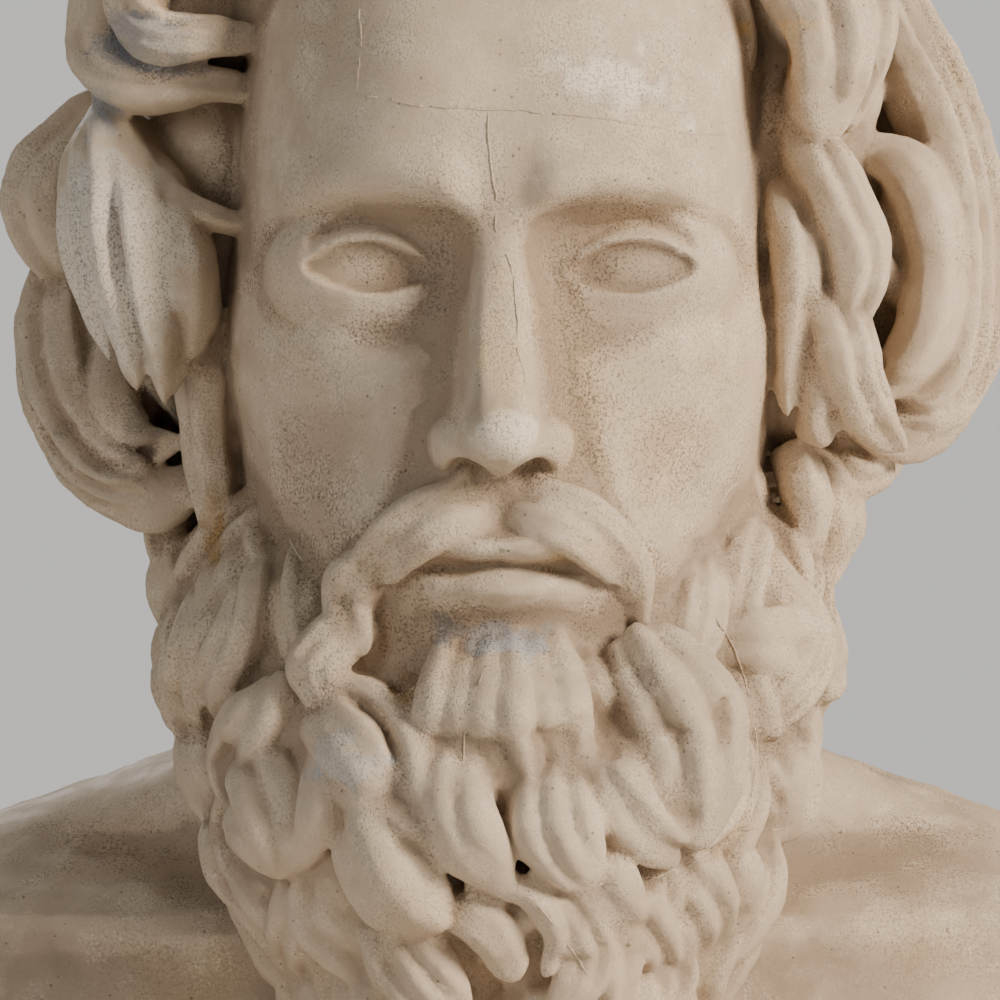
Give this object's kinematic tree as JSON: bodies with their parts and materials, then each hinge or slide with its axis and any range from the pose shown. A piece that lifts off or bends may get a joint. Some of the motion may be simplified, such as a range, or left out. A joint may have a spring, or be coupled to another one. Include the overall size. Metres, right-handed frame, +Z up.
{
  "type": "plaster bust",
  "caption": "Hollow-cast plaster bust of a bearded classical elder with scrolled side hair, bare shoulders cut square at the arms and a flat underside.",
  "frame": {"origin": "centre of the flat underside, under the middle of the bust's bounding box", "axes": "+Z up; the face looks along -Y; +X is to the viewer's right when the bust is seen from in front"},
  "size_m": [0.44, 0.2686, 0.5601],
  "materials": {
    "aged_plaster": "matte"
  },
  "bodies": {
    "root": {"bust": "aged_plaster"}
  },
  "joints": []
}
